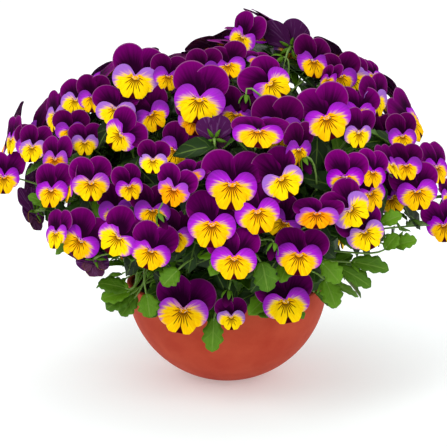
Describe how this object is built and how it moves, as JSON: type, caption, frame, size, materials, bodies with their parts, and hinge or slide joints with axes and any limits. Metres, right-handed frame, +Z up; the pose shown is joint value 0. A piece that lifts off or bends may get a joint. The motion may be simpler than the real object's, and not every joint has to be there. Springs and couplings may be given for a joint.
{
  "type": "potted pansy",
  "caption": "Clay bowl of small violet and yellow pansies in full bloom, with leafy shoots under a wide mound of flowers.",
  "frame": {"origin": "centre of the flat foot under the bowl, on the surface it stands on", "axes": "+Z up along the bowl's axis, -Y towards the side with the most blooms facing out"},
  "size_m": [0.3641, 0.3662, 0.2973],
  "materials": {
    "fired_clay": "matt unglazed clay",
    "potting_soil": "crumbly peat and bark",
    "foliage": "satin leaf",
    "petals": "velvety petal"
  },
  "bodies": {
    "root": {"blooms_01": "petals", "blooms_02": "petals", "blooms_03": "petals", "blooms_04": "petals", "blooms_05": "petals", "blooms_06": "petals", "blooms_07": "petals", "blooms_08": "petals", "blooms_09": "petals", "blooms_10": "petals", "blooms_11": "petals", "blooms_12": "petals", "blooms_13": "petals", "blooms_14": "petals", "blooms_15": "petals", "blooms_16": "petals", "blooms_17": "petals", "blooms_18": "petals", "blooms_19": "petals", "blooms_20": "petals", "blooms_21": "petals", "blooms_22": "petals", "blooms_23": "petals", "blooms_24": "petals", "blooms_25": "petals", "blooms_26": "petals", "blooms_27": "petals", "blooms_28": "petals", "blooms_29": "petals", "blooms_30": "petals", "blooms_31": "petals", "blooms_32": "petals", "blooms_33": "petals", "blooms_34": "petals", "blooms_35": "petals", "blooms_36": "petals", "blooms_37": "petals", "blooms_38": "petals", "blooms_39": "petals", "blooms_40": "petals", "blooms_41": "petals", "clay_bowl": "fired_clay", "potting_soil": "potting_soil", "shoot_01": "foliage", "shoot_02": "foliage", "shoot_03": "foliage", "shoot_04": "foliage", "shoot_05": "foliage", "shoot_06": "foliage", "shoot_07": "foliage", "shoot_08": "foliage", "shoot_09": "foliage", "shoot_10": "foliage", "shoot_11": "foliage", "shoot_12": "foliage", "shoot_13": "foliage", "shoot_14": "foliage", "shoot_15": "foliage", "shoot_16": "foliage"}
  },
  "joints": []
}
